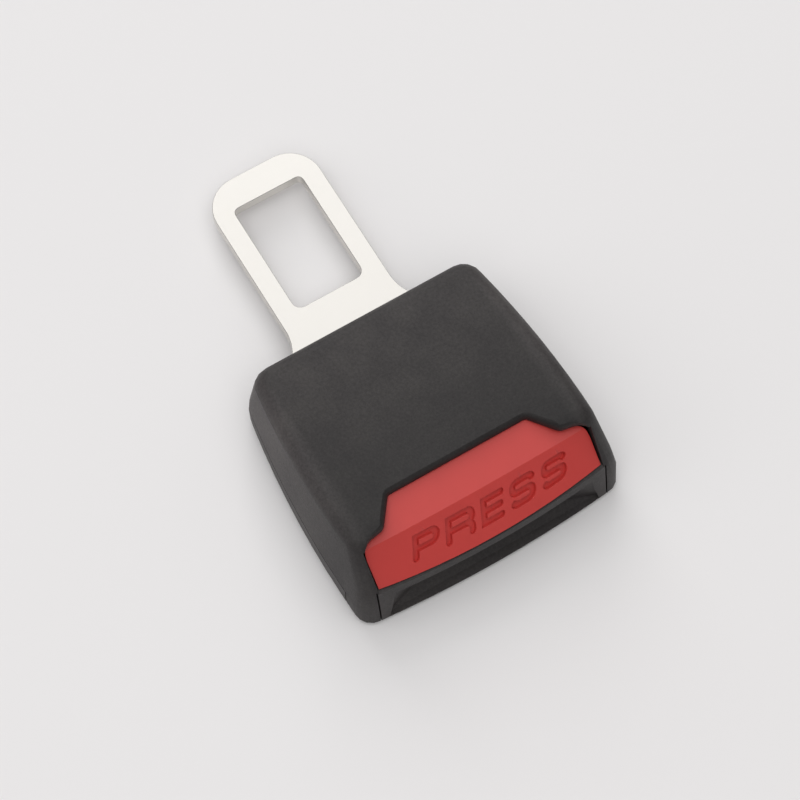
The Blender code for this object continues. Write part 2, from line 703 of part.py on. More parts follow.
def make_tongue_plate(material, parts, cutters):
    corner = (TONGUE_TIP_X + TONGUE_CORNER_RADIUS, TONGUE_HALF - TONGUE_CORNER_RADIUS)
    half = arc(corner, TONGUE_CORNER_RADIUS, 180.0, 90.0, 8)
    flare_centre = (FLARE_X, TONGUE_HALF + FLARE_RADIUS)
    rise = TONGUE_SHOULDER_HALF - TONGUE_HALF
    flare_end = math.degrees(math.acos(1.0 - rise / FLARE_RADIUS))
    half += arc(flare_centre, FLARE_RADIUS, -90.0, -90.0 + flare_end, 7)
    half += [(TONGUE_SHOULDER_END_X, TONGUE_SHOULDER_HALF), (TONGUE_SHOULDER_END_X, TONGUE_ROOT_HALF),
             (TONGUE_ROOT_X, TONGUE_ROOT_HALF)]
    window_low, window_high = TONGUE_WINDOW_X
    tip = (window_low + WINDOW_TIP_RADIUS, TONGUE_WINDOW_HALF - WINDOW_TIP_RADIUS)
    root = (window_high - WINDOW_ROOT_RADIUS, TONGUE_WINDOW_HALF - WINDOW_ROOT_RADIUS)
    window = (arc(tip, WINDOW_TIP_RADIUS, 180.0, 90.0, 4)
              + arc(root, WINDOW_ROOT_RADIUS, 90.0, 0.0, 4))
    holes = [circle((RIVET_X, y), RIVET_RADIUS + PIN_GAP) for y in (RIVET_Y, -RIVET_Y)]
    plate = slab("tongue_plate", [mirrored(half), mirrored(window)] + holes,
                 TONGUE_Z, TONGUE_TOP, cutters)
    return finish(plate, material, parts)


def make_buckle_frame(material, parts, cutters):
    bend = FRAME_BEND_RADIUS
    low = arc((-FRAME_HALF + bend, FRAME_Z + bend), bend, 180.0, 270.0, 4)
    outer = low + [(-y, z) for y, z in reversed(low)]
    inner = [(FRAME_HALF, FRAME_EAR_TOP), (FRAME_INNER_HALF, FRAME_EAR_TOP),
             (FRAME_INNER_HALF, CHANNEL_Z), (-FRAME_INNER_HALF, CHANNEL_Z),
             (-FRAME_INNER_HALF, FRAME_EAR_TOP), (-FRAME_HALF, FRAME_EAR_TOP)]
    frame = slab("buckle_frame", [outer + inner], FRAME_X[0], FRAME_X[1], cutters, "X")
    ear_low, ear_high = FRAME_EAR_X
    ear_arc_z = FRAME_EAR_TOP - FRAME_EAR_RADIUS
    side_cut = ([(FAR, FAR), (FAR, FRAME_WALL_TOP), (ear_high + FRAME_EAR_FOOT, FRAME_WALL_TOP)]
                + arc((ear_high - FRAME_EAR_RADIUS, ear_arc_z), FRAME_EAR_RADIUS, 0.0, 90.0, 5)
                + arc((ear_low + FRAME_EAR_RADIUS, ear_arc_z), FRAME_EAR_RADIUS, 90.0, 180.0, 5)
                + [(ear_low, CHANNEL_Z), (-FAR, CHANNEL_Z), (-FAR, FAR)])
    trim = slab("frame_side_trim", [side_cut], -FAR / 2, FAR / 2, cutters, "Y")
    slot_half = NOSE_HALF + NOSE_SLOT_GAP
    slot = box("frame_nose_slot", (NOSE_X[0] - NOSE_SLOT_GAP, NOSE_X[1] + NOSE_SLOT_GAP),
               (-slot_half, slot_half), (FRAME_Z - 1.0, CHANNEL_Z + 1.0), cutters)
    pin_hole = cylinder("frame_pin_hole", (PIVOT_X, -FAR / 2, PIVOT_Z), (PIVOT_X, FAR / 2, PIVOT_Z),
                        PIN_RADIUS + PIN_GAP, cutters)
    boolean(frame, trim)
    boolean(frame, slot)
    boolean(frame, pin_hole)
    for i, y in enumerate((RIVET_Y, -RIVET_Y)):
        boolean(frame, cylinder(f"frame_rivet_hole_{i}", (RIVET_X, y, FRAME_Z - 1.0),
                                (RIVET_X, y, CHANNEL_Z + 1.0), RIVET_RADIUS + PIN_GAP, cutters, 20))
    return finish(frame, material, parts)


def make_rivet(name, y, material, parts, cutters):
    head_z = TONGUE_TOP + SEAT_GAP
    middle_z = head_z + RIVET_HEAD_HEIGHT / 2
    shank = cylinder(name, (RIVET_X, y, FRAME_Z), (RIVET_X, y, middle_z), RIVET_RADIUS, cutters, 20)
    head = cylinder(name + "_head", (RIVET_X, y, head_z), (RIVET_X, y, head_z + RIVET_HEAD_HEIGHT),
                    RIVET_HEAD_RADIUS, cutters, 20, RIVET_HEAD_RADIUS - RIVET_HEAD_CHAMFER)
    boolean(shank, head, "UNION")
    return finish(shank, material, parts)


def make_latch_plate(material, parts, cutters):
    pivot = (PIVOT_X, 0.0, PIVOT_Z)
    ear_radius = PIN_RADIUS + PIN_GAP + LATCH_EAR_WALL
    rear_x = PIVOT_X - ear_radius
    middle_z = LATCH_Z + LATCH_THICKNESS / 2
    half = [(rear_x, LATCH_HALF), (WING_X[0] - WING_FILLET, LATCH_HALF),
            (WING_X[0], LATCH_HALF + WING_FILLET), (WING_X[0], WING_HALF), (WING_X[1], WING_HALF)]
    plate = slab("latch_plate", [mirrored(half)], LATCH_Z, LATCH_TOP, cutters, "Z", pivot)
    nose_profile = [(NOSE_X[0], middle_z), (NOSE_X[0], NOSE_TIP_Z), (NOSE_X[1] - NOSE_RAMP, NOSE_TIP_Z),
                    (NOSE_X[1], NOSE_TIP_Z + NOSE_RAMP_SLOPE * NOSE_RAMP), (NOSE_X[1], middle_z)]
    nose = slab("latch_nose", [nose_profile], -NOSE_HALF, NOSE_HALF, cutters, "Y")
    boolean(plate, nose, "UNION")
    ear_profile = (arc((PIVOT_X, PIVOT_Z), ear_radius, 190.0, 0.0, 10)
                   + [(PIVOT_X + ear_radius + WING_FILLET, middle_z), (rear_x + SEAT_GAP, middle_z)])
    for side, sign in SIDES:
        inner, outer = sorted((sign * (LATCH_HALF - LATCH_EAR), sign * LATCH_HALF))
        ear = slab("latch_ear_" + side, [ear_profile], inner, outer, cutters, "Y")
        boolean(plate, ear, "UNION")
    boolean(plate, cylinder("latch_pin_hole", (PIVOT_X, -FAR / 2, PIVOT_Z), (PIVOT_X, FAR / 2, PIVOT_Z),
                            PIN_RADIUS + PIN_GAP, cutters))
    channel = box("latch_pin_channel", (PIVOT_X - FAR, PIVOT_X + PIN_RADIUS + PIN_GAP),
                  (-LATCH_HALF + LATCH_EAR, LATCH_HALF - LATCH_EAR), (LATCH_Z - 1.0, LATCH_TOP + 1.0),
                  cutters)
    boolean(plate, channel)
    return finish(plate, material, parts)


def make_pivot_pin(material, parts, cutters):
    reach = FRAME_HALF + SEAT_GAP
    middle = reach + PIN_HEAD / 2
    pin = cylinder("latch_pivot_pin", (PIVOT_X, -middle, PIVOT_Z), (PIVOT_X, middle, PIVOT_Z),
                   PIN_RADIUS, cutters, 20)
    for side, sign in SIDES:
        head = cylinder("pin_head_" + side, (PIVOT_X, sign * reach, PIVOT_Z),
                        (PIVOT_X, sign * (reach + PIN_HEAD), PIVOT_Z), PIN_HEAD_RADIUS, cutters, 20,
                        PIN_HEAD_RADIUS - PIN_HEAD_CHAMFER)
        boolean(pin, head, "UNION")
    return finish(pin, material, parts)


def make_ejector(material, parts, cutters):
    low, high = EJECTOR_X
    half = [(low, EJECTOR_HALF), (high - EJECTOR_CHAMFER, EJECTOR_HALF), (high, PRONG_OUTER),
            (PRONG_TIP_X, PRONG_OUTER), (PRONG_TIP_X, PRONG_INNER),
            (high + EJECTOR_CHAMFER, PRONG_INNER), (high, PRONG_INNER - EJECTOR_CHAMFER)]
    slot = [(SPRING_SLOT_END_X, SPRING_SLOT_HALF), (low, SPRING_SLOT_HALF)]
    right = [(x, -y) for x, y in reversed(half)]
    slot_side = [(x, -y) for x, y in slot]
    outline = half + right + list(reversed(slot_side)) + slot
    body = slab("ejector", [outline], TONGUE_Z, TONGUE_Z + EJECTOR_HEIGHT, cutters, "Z",
                (PRONG_TIP_X, 0.0, TONGUE_Z))
    return finish(body, material, parts)


def make_spring(name, start, end, radius, wire, turns, material, parts):
    """A compression coil between two points, its wire's ends on the end planes."""
    a = Vector(start)
    b = Vector(end)
    along = (b - a).normalized()
    side = along.orthogonal().normalized()
    other = along.cross(side)
    length = (b - a).length - wire
    steps = turns * 9
    curve = bpy.data.curves.new(name, "CURVE")
    curve.dimensions = "3D"
    curve.bevel_depth = wire / 2 * MM
    curve.bevel_resolution = 1
    curve.use_fill_caps = True
    spline = curve.splines.new("POLY")
    spline.points.add(steps)
    for i, point in enumerate(spline.points):
        angle = 2.0 * math.pi * turns * i / steps
        centre = a + along * (wire / 2 + length * i / steps)
        place = centre + (side * math.cos(angle) + other * math.sin(angle)) * radius
        point.co = (*(place * MM), 1.0)
    mesh = curve_to_mesh(name, curve, Matrix.Identity(4), parts)
    return finish(add_object(name, mesh, parts, start), material, parts)


def main():
    clear_scene()
    parts = new_collection(OBJECT_NAME)
    cutters = new_collection("cutters")
    plastic = new_material("housing_plastic", (0.058, 0.055, 0.055), 0.62)
    red = new_material("button_plastic", (0.5, 0.07, 0.06), 0.5)
    plated = new_material("tongue_steel", (0.86, 0.85, 0.82), 0.32, 1.0)
    steel = new_material("frame_steel", (0.55, 0.55, 0.56), 0.4, 1.0)
    wire = new_material("spring_steel", (0.45, 0.45, 0.47), 0.3, 1.0)
    white = new_material("ejector_plastic", (0.75, 0.74, 0.7), 0.5)

    make_upper_housing(plastic, parts, cutters)
    make_lower_housing(plastic, parts, cutters)
    make_release_button(red, parts, cutters)
    make_tongue_plate(plated, parts, cutters)
    make_buckle_frame(steel, parts, cutters)
    make_rivet("tongue_rivet_left", RIVET_Y, steel, parts, cutters)
    make_rivet("tongue_rivet_right", -RIVET_Y, steel, parts, cutters)
    make_latch_plate(steel, parts, cutters)
    make_pivot_pin(wire, parts, cutters)
    make_ejector(white, parts, cutters)
    make_spring("ejector_spring",
                (TONGUE_ROOT_X + SEAT_GAP, 0.0, TONGUE_Z + EJECTOR_HEIGHT / 2),
                (SPRING_SLOT_END_X - SEAT_GAP, 0.0, TONGUE_Z + EJECTOR_HEIGHT / 2),
                EJECTOR_SPRING_RADIUS, EJECTOR_SPRING_WIRE, EJECTOR_SPRING_TURNS, wire, parts)
    make_spring("latch_spring", (LATCH_SPRING_X, 0.0, LATCH_TOP + SEAT_GAP),
                (LATCH_SPRING_X, 0.0, LATCH_BOSS_Z - SEAT_GAP),
                LATCH_SPRING_RADIUS, LATCH_SPRING_WIRE, LATCH_SPRING_TURNS, wire, parts)
    for side, sign in SIDES:
        y = sign * BUTTON_SPRING_Y
        make_spring("button_spring_" + side,
                    (SPRING_STOP_X[1] + SEAT_GAP, y, BUTTON_SPRING_Z),
                    (FOOT_X[0] - SEAT_GAP, y, BUTTON_SPRING_Z),
                    BUTTON_SPRING_RADIUS, BUTTON_SPRING_WIRE, BUTTON_SPRING_TURNS, wire, parts)


main()
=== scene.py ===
"""Looks of a rigid seat belt extender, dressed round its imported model."""
import math

import bmesh
import bpy
from bpy.props import FloatProperty, FloatVectorProperty, PointerProperty, StringProperty
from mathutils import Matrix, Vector
from mathutils.bvhtree import BVHTree


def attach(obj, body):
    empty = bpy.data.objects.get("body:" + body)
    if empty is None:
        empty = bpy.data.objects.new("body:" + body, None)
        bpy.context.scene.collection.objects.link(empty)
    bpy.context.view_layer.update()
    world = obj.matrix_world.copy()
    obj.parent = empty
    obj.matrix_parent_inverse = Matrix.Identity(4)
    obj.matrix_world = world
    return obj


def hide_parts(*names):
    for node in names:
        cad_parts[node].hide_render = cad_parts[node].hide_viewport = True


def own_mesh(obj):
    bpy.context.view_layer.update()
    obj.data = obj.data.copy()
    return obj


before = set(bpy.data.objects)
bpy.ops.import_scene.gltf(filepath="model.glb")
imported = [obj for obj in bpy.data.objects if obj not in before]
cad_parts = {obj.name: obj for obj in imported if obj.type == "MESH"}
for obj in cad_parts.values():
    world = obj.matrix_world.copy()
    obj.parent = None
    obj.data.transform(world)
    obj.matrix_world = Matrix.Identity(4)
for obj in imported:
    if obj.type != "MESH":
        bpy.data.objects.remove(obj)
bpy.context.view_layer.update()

bl_info = {
    "name": "Seat Belt Extender",
    "version": (1, 0, 0),
    "blender": (4, 5, 0),
    "location": "3D View > Sidebar > Extender",
    "description": "Dresses a rigid seat belt extender and its stage",
    "category": "Object",
}

MM = 0.001


# Colours

def linear(hex_colour):
    """An sRGB hex value as linear red, green and blue."""
    channels = [int(hex_colour[i:i + 2], 16) / 255.0 for i in (0, 2, 4)]
    return tuple(c / 12.92 if c <= 0.04045 else ((c + 0.055) / 1.055) ** 2.4 for c in channels)


def colour_property(name, description, hex_colour):
    return FloatVectorProperty(name=name, description=description, subtype="COLOR", size=3,
                               min=0.0, max=1.0, default=linear(hex_colour))


def length_property(name, description, default_mm):
    return FloatProperty(name=name, description=description, subtype="DISTANCE", unit="LENGTH",
                         min=0.0, default=default_mm * MM)


def share_property(name, description, default):
    return FloatProperty(name=name, description=description, subtype="FACTOR", min=0.0, max=1.0,
                         default=default)


# Settings that a user would change

class HousingSettings(bpy.types.PropertyGroup):
    colour: colour_property("Colour", "Colour of the moulded shells", "302D2D")
    worn: colour_property("Worn colour", "Paler patches where the skin is handled", "393635")
    roughness: share_property("Roughness", "Satin of the spark-eroded skin", 0.52)
    grain: length_property("Grain", "Width of one grain of the moulded skin", 0.32)
    edge: length_property("Edge", "Radius of the small moulded edges", 0.14)


class ButtonSettings(bpy.types.PropertyGroup):
    colour: colour_property("Colour", "Colour of the press button", "C63B36")
    # painted highlight: a paler red for the press face's lowest edge
    edge_highlight: colour_property("Painted edge highlight", "Paler lower edge, a painted highlight", "E39A92")
    roughness: share_property("Roughness", "Satin of the button's skin", 0.5)
    edge: length_property("Edge", "Radius of the button's edges", 0.28)
    word: StringProperty(name="Word", description="Plain word sunk into the press face",
                         default="PRESS")
    letter_height: length_property("Letter height", "Height of the sunk letters, up the face", 5.2)
    word_length: length_property("Word length", "Length of the sunk word", 31.7)
    word_foot: length_property("Word foot", "Height of the letters' feet above the underside", 13.15)
    letter_gap: length_property("Letter gap", "Space between two letters", 1.15)
    stroke: length_property("Stroke", "Width of the letters' strokes", 1.25)
    letter_depth: length_property("Letter depth", "How deep the letters are sunk", 0.85)


class SteelSettings(bpy.types.PropertyGroup):
    plating: colour_property("Plating", "Colour of the plated tongue", "DDDAD5")
    # painted shade: a darker steel colour for the tongue's rounded edges
    edge_shade: colour_property("Shaded edge", "Darker colour of the tongue's rounded edges, a painted shade", "8C8A88")
    roughness: share_property("Roughness", "Satin of the tumbled plating", 0.34)
    zinc: colour_property("Zinc", "Colour of the zinc plated inner plates", "B4B5B6")
    wire: colour_property("Wire", "Colour of the spring wire", "8E8F92")
    edge: length_property("Edge", "Radius of the tumbled edges", 0.22)


class StageSettings(bpy.types.PropertyGroup):
    floor: colour_property("Floor", "Colour of the floor", "EBE9E9")
    azimuth: FloatProperty(name="Azimuth", description="Camera's turn round the part",
                           subtype="ANGLE", default=math.radians(59.14))
    elevation: FloatProperty(name="Elevation", description="Camera's height above the horizon",
                             subtype="ANGLE", default=math.radians(67.32))
    distance: length_property("Distance", "Camera to the aim point", 600.0)
    focal: FloatProperty(name="Focal length", description="Lens, in millimetres", unit="CAMERA",
                         default=151.04)


class ExtenderSettings(bpy.types.PropertyGroup):
    housing: PointerProperty(type=HousingSettings)
    button: PointerProperty(type=ButtonSettings)
    steel: PointerProperty(type=SteelSettings)
    stage: PointerProperty(type=StageSettings)


# Material helpers

def new_material(name):
    material = bpy.data.materials.new(name)
    material.use_nodes = True
    shader = material.node_tree.nodes["Principled BSDF"]
    return material, material.node_tree, shader


def add(tree, kind, values=None, links=None, **settings):
    """Adds a node with its settings, its socket values and its incoming links."""
    made = tree.nodes.new(kind)
    for key, value in settings.items():
        setattr(made, key, value)
    for key, value in (values or {}).items():
        made.inputs[key].default_value = value
    for key, socket in (links or {}).items():
        tree.links.new(socket, made.inputs[key])
    return made


def per_metre(length):
    """A noise scale whose features are about that long."""
    return 1.0 / max(length, 0.00001)


def roughen(tree, shader, height, strength, distance):
    """Lets a height stand out of the surface by up to that distance."""
    bump = add(tree, "ShaderNodeBump", {"Strength": strength, "Distance": distance},
               {"Height": height})
    tree.links.new(bump.outputs["Normal"], shader.inputs["Normal"])


# The real grain of these skins is about 0.05 mm, too fine to show, so it is drawn coarser.
SPECKLE = 0.55 * MM
SPECKLE_SHADES = (0.8, 1.2)
CLOUD = 9.0 * MM
CLOUD_ENDS = (0.35, 0.75)
NOISE_LOW, NOISE_HIGH = 0.3, 0.7
# painted light and shade: the skin's colour is scaled from REAR_X to FRONT_X and between SIDE_START and
# SIDE_FULL, standing in for how light falls on the roof, the mouth's end and the sides
REAR_X, FRONT_X = -18.0 * MM, 16.0 * MM
REAR_PAINTED_LIGHT = 1.15
SIDE_START, SIDE_FULL = 20.5 * MM, 24.5 * MM
SKIN_BUMP = 0.05 * MM
PLASTIC_IOR = 1.5
HOUSING_SPECULAR = 0.27


def spread(tree, socket, low, high, ends=(NOISE_LOW, NOISE_HIGH)):
    """A value between two ends, mapped to the range from low to high."""
    return add(tree, "ShaderNodeMapRange",
               {"From Min": ends[0], "From Max": ends[1], "To Min": low, "To Max": high},
               {"Value": socket}).outputs["Result"]


def times(tree, first, second):
    return add(tree, "ShaderNodeMath", links={0: first, 1: second},
               operation="MULTIPLY").outputs["Value"]


def moulded_abs(settings, name, front, side_painted_light):
    """Dark ABS from a spark-eroded mould: the eye gets a soft sheen broken by fine grain.

    The skin's colour is multiplied by painted light and shade: by a share at the rear, by the front
    share at the mouth's end and by the side share on the sides."""
    material, tree, shader = new_material(name)
    place = add(tree, "ShaderNodeTexCoord")
    grain = add(tree, "ShaderNodeTexNoise",
                {"Scale": per_metre(settings.grain), "Detail": 3.0, "Roughness": 0.6},
                {"Vector": place.outputs["Object"]})
    clouds = add(tree, "ShaderNodeTexNoise",
                 {"Scale": per_metre(CLOUD), "Detail": 3.0, "Roughness": 0.55},
                 {"Vector": place.outputs["Object"]})
    shades = add(tree, "ShaderNodeValToRGB", links={"Fac": clouds.outputs["Fac"]})
    for stop, position, colour in zip(shades.color_ramp.elements, CLOUD_ENDS,
                                      (settings.colour, settings.worn)):
        stop.position = position
        stop.color = (*colour, 1.0)
    speckle = add(tree, "ShaderNodeTexNoise",
                  {"Scale": per_metre(SPECKLE), "Detail": 2.0, "Roughness": 0.7},
                  {"Vector": place.outputs["Object"]})
    fleck = spread(tree, speckle.outputs["Fac"], *SPECKLE_SHADES)
    spot = add(tree, "ShaderNodeSeparateXYZ", links={"Vector": place.outputs["Object"]})
    # painted light and shade along the shell, and painted light on its sides
    rear_to_front_painted_light = spread(tree, spot.outputs["X"], REAR_PAINTED_LIGHT, front, (REAR_X, FRONT_X))
    across = add(tree, "ShaderNodeMath", links={0: spot.outputs["Y"]}, operation="ABSOLUTE")
    side_painted_share = spread(tree, across.outputs["Value"], 1.0, side_painted_light, (SIDE_START, SIDE_FULL))
    mottle_and_painted_light = add(tree, "ShaderNodeHueSaturation",
                 links={"Color": shades.outputs["Color"],
                        "Value": times(tree, times(tree, fleck, rear_to_front_painted_light), side_painted_share)})
    tree.links.new(mottle_and_painted_light.outputs["Color"], shader.inputs["Base Color"])
    sheen = spread(tree, grain.outputs["Fac"], settings.roughness - 0.05, settings.roughness + 0.06)
    tree.links.new(sheen, shader.inputs["Roughness"])
    roughen(tree, shader, grain.outputs["Fac"], 0.6, SKIN_BUMP)
    shader.inputs["IOR"].default_value = PLASTIC_IOR
    shader.inputs["Specular IOR Level"].default_value = HOUSING_SPECULAR
    return material


def moulded_red(settings, colour, name):
    """Red ABS from a finely textured mould: even colour, a wide soft highlight."""
    material, tree, shader = new_material(name)
    place = add(tree, "ShaderNodeTexCoord")
    grain = add(tree, "ShaderNodeTexNoise",
                {"Scale": per_metre(0.3 * MM), "Detail": 2.0},
                {"Vector": place.outputs["Object"]})
    cloud = add(tree, "ShaderNodeTexNoise",
                {"Scale": per_metre(6.0 * MM), "Detail": 2.0},
                {"Vector": place.outputs["Object"]})
    tint = add(tree, "ShaderNodeHueSaturation", {"Color": (*colour, 1.0)})
    value = spread(tree, cloud.outputs["Fac"], 0.94, 1.06, (0.0, 1.0))
    tree.links.new(value, tint.inputs["Value"])
    tree.links.new(tint.outputs["Color"], shader.inputs["Base Color"])
    roughen(tree, shader, grain.outputs["Fac"], 0.25, 0.02 * MM)
    shader.inputs["Roughness"].default_value = settings.roughness
    shader.inputs["IOR"].default_value = PLASTIC_IOR
    return material


def steel(name, colour, roughness, grain_mm, streak):
    """Steel: a fine unevenness of the plating spreads what it mirrors.

    A streak below 1 draws its grain out across the part."""
    material, tree, shader = new_material(name)
    place = add(tree, "ShaderNodeTexCoord")
    stretch = add(tree, "ShaderNodeMapping", {"Scale": (1.0, streak, 1.0)},
                  {"Vector": place.outputs["Object"]})
    grain = add(tree, "ShaderNodeTexNoise", {"Scale": per_metre(grain_mm * MM), "Detail": 3.0},
                {"Vector": stretch.outputs["Vector"]})
    gloss = spread(tree, grain.outputs["Fac"], roughness - 0.05, roughness + 0.05)
    tree.links.new(gloss, shader.inputs["Roughness"])
    roughen(tree, shader, grain.outputs["Fac"], 0.12, 0.01 * MM)
    shader.inputs["Base Color"].default_value = (*colour, 1.0)
    shader.inputs["Metallic"].default_value = 1.0
    return material


def moulded_acetal():
    """Natural acetal: milky white with a waxy sheen."""
    material, tree, shader = new_material("moulded acetal")
    place = add(tree, "ShaderNodeTexCoord")
    cloud = add(tree, "ShaderNodeTexNoise", {"Scale": per_metre(4.0 * MM), "Detail": 2.0},
                {"Vector": place.outputs["Object"]})
    roughen(tree, shader, cloud.outputs["Fac"], 0.1, 0.02 * MM)
    shader.inputs["Base Color"].default_value = (*linear("DEDBD0"), 1.0)
    shader.inputs["Roughness"].default_value = 0.42
    shader.inputs["IOR"].default_value = 1.48
    return material


# Piece helpers

def settings_of(context):
    return context.scene.extender


MERGE_REACH = 0.002 * MM
FLAT_DEG = 0.3


def node_copy(node, name):
    """The node's own form as a new clean mesh, ready to be finished."""
    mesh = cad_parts[node].data.copy()
    mesh.name = name
    built = bmesh.new()
    built.from_mesh(mesh)
    bmesh.ops.remove_doubles(built, verts=built.verts, dist=MERGE_REACH)
    bmesh.ops.dissolve_limit(built, angle_limit=math.radians(FLAT_DEG), verts=built.verts,
                             edges=built.edges)
    built.to_mesh(mesh)
    built.free()
    piece = bpy.data.objects.new(name, mesh)
    bpy.context.collection.objects.link(piece)
    return piece


def round_edges(piece, radius, angle_deg=30.0, segments=2):
    modifier = piece.modifiers.new("small radii", "BEVEL")
    modifier.width = radius
    modifier.segments = segments
    modifier.limit_method = "ANGLE"
    modifier.angle_limit = math.radians(angle_deg)
    modifier.harden_normals = True


def soften_normals(piece):
    """Lets the large faces keep their own direction and the small radii turn between them."""
    modifier = piece.modifiers.new("broad faces first", "WEIGHTED_NORMAL")
    modifier.weight = 100
    modifier.keep_sharp = True


def apply_modifiers(piece):
    depsgraph = bpy.context.evaluated_depsgraph_get()
    mesh = bpy.data.meshes.new_from_object(piece.evaluated_get(depsgraph))
    piece.modifiers.clear()
    piece.data = mesh


def shade(piece, sharp_deg=35.0):
    piece.data.shade_smooth()
    piece.data.set_sharp_from_angle(angle=math.radians(sharp_deg))


def dress(node, name, material, body, slot, edge, sharp_deg=35.0):
    """A finished piece of the node's form that takes the node's place."""
    piece = node_copy(node, name)
    piece.data.materials.clear()
    piece.data.materials.append(material)
    shade(piece, sharp_deg)
    if edge > 0.0:
        round_edges(piece, edge)
    soften_normals(piece)
    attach(piece, body)
    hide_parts(node)
    return piece


# Letters, as the centre lines of their strokes, along and up, from the letter's lower left

def bow(centre, along, up, start_deg, end_deg, steps=10):
    """A stretch of an ellipse."""
    angles = [math.radians(start_deg + (end_deg - start_deg) * i / steps) for i in range(steps + 1)]
    return [(centre[0] + along * math.cos(a), centre[1] + up * math.sin(a)) for a in angles]


def bowl(width, height):
    """The stem and closed bowl that P and R share."""
    radius = BOWL_SHARE * height
    turn = bow((width - radius, height - radius), radius, radius, 90.0, -90.0)
    return [(0.0, 0.0), (0.0, height)] + turn + [(0.0, height - 2.0 * radius)]


def letter_p(width, height):
    return [bowl(width, height)]


def letter_r(width, height):
    radius = BOWL_SHARE * height
    leg = bow((width - radius, height - 3.0 * radius), radius, radius, 90.0, 0.0, 6)
    return [bowl(width, height), [(width / 2, height - 2.0 * radius)] + leg + [(width, 0.0)]]


def letter_e(width, height):
    outer = [(width, height), (0.0, height), (0.0, 0.0), (width, 0.0)]
    return [outer, [(0.0, height / 2), (width * 0.95, height / 2)]]


def letter_s(width, height):
    radius = height / 4
    left, right, top = radius, width - radius, height - radius
    head = bow((right, top), radius, radius, 35.0, 90.0, 4)
    upper = bow((left, top), radius, radius, 90.0, 270.0)
    lower = bow((right, radius), radius, radius, 90.0, -90.0)
    tail = bow((left, radius), radius, radius, -90.0, -143.0, 4)
    return [head + upper + lower + tail]


LETTERS = {"P": letter_p, "R": letter_r, "E": letter_e, "S": letter_s}
LETTER_SHARES = {"P": 5.1, "R": 5.7, "E": 4.5, "S": 5.2}  # widths beside each other
BOWL_SHARE = 0.28                # of the letter's height, the radius of a bowl
LETTER_SLANT = 0.34              # along, for each unit up
WORD_SHIFT = 0.35 * MM           # from the middle of the button
GROOVE_DRAFT = 0.1 * MM          # how much narrower a groove is at its floor
GROOVE_LIP = 0.06 * MM           # the small round at its top
GROOVE_CLEAR = 0.8 * MM          # how far the cutter stands out of the face
STROKE_END_TURNS = (25.0, 50.0, 72.0)


def sections(path, half):
    """Places, side directions and half widths along a stroke with round ends."""
    points = [Vector(point) for point in path]
    rows = []
    for i, point in enumerate(points):
        sides = [Vector((a.y - b.y, b.x - a.x)).normalized()
                 for a, b in zip(points[max(i - 1, 0):i + 1], points[max(i, 1):i + 2])]
        side = sum(sides, Vector((0.0, 0.0))).normalized()
        rows.append((point, side, 1.0 / side.dot(sides[0])))
    first, last = rows[0], rows[-1]
    start, end = [], []
    for degrees in STROKE_END_TURNS:
        turn = math.radians(degrees)
        reach = half * math.sin(turn)
        back = Vector((first[1].y, -first[1].x)) * -reach
        ahead = Vector((last[1].y, -last[1].x)) * reach
        start.insert(0, (first[0] + back, first[1], math.cos(turn)))
        end.append((last[0] + ahead, last[1], math.cos(turn)))
    return start + rows + end


def groove(built, path, half, depth, place):
    """A cutter for one stroke: a flat floor, drafted walls and a small round at the top."""
    levels = ((-depth, half - GROOVE_DRAFT), (-GROOVE_LIP, half), (0.0, half + GROOVE_LIP),
              (GROOVE_CLEAR, half + GROOVE_LIP))
    rings = []
    for point, side, share in sections(path, half):
        left = [place(point + side * (width * share), lift) for lift, width in levels]
        right = [place(point - side * (width * share), lift) for lift, width in reversed(levels)]
        rings.append([built.verts.new(spot) for spot in left + right])
    count = len(rings[0])
    for low, high in zip(rings, rings[1:]):
        for i in range(count):
            j = (i + 1) % count
            built.faces.new((low[i], low[j], high[j], high[i]))
    built.faces.new(list(reversed(rings[0])))
    built.faces.new(rings[-1])


# The button's surface

CREASE = Vector((17.14, 0.0, 17.8)) * MM
CREASE_PLANE_BACK = Vector((10.0, 0.0, 18.9)) * MM
FACE_LIP_X = 21.0 * MM
FACE_LIP_RISE = 0.35 * MM
SKIN_REACH = 0.07 * MM           # faces further than that from the uncut skin are in a groove


def plane_crease(button):
    """Planes the upper face down to a crisp crease a little above the word."""
    slope = (CREASE - CREASE_PLANE_BACK).normalized()
    built = bmesh.new()
    built.from_mesh(button.data)
    cut = bmesh.ops.bisect_plane(built, geom=built.verts[:] + built.edges[:] + built.faces[:],
                                 plane_co=CREASE, plane_no=(-slope.z, 0.0, slope.x), clear_outer=True)
    rim = [item for item in cut["geom_cut"] if isinstance(item, bmesh.types.BMEdge)]
    bmesh.ops.holes_fill(built, edges=rim)
    bmesh.ops.recalc_face_normals(built, faces=built.faces)
    built.to_mesh(button.data)
    built.free()


def paint_lower_edge_highlight(button):
    """Gives the second material, a paler red painted on as a highlight, to the press face's lowest
    edge.
    """
    lip_top = FACE_LIP_RISE + min(v.co.z for v in button.data.vertices if v.co.x > FACE_LIP_X)
    for face in button.data.polygons:
        low = face.center.x > FACE_LIP_X and face.center.z < lip_top
        outward = face.normal.x > 0.3 and face.normal.z < 0.5
        face.material_index = int(low and outward)


def skin_tree(piece):
    """Finds the nearest or the first hit point of the piece's surface."""
    return BVHTree.FromPolygons([v.co for v in piece.data.vertices],
                                [p.vertices for p in piece.data.polygons])


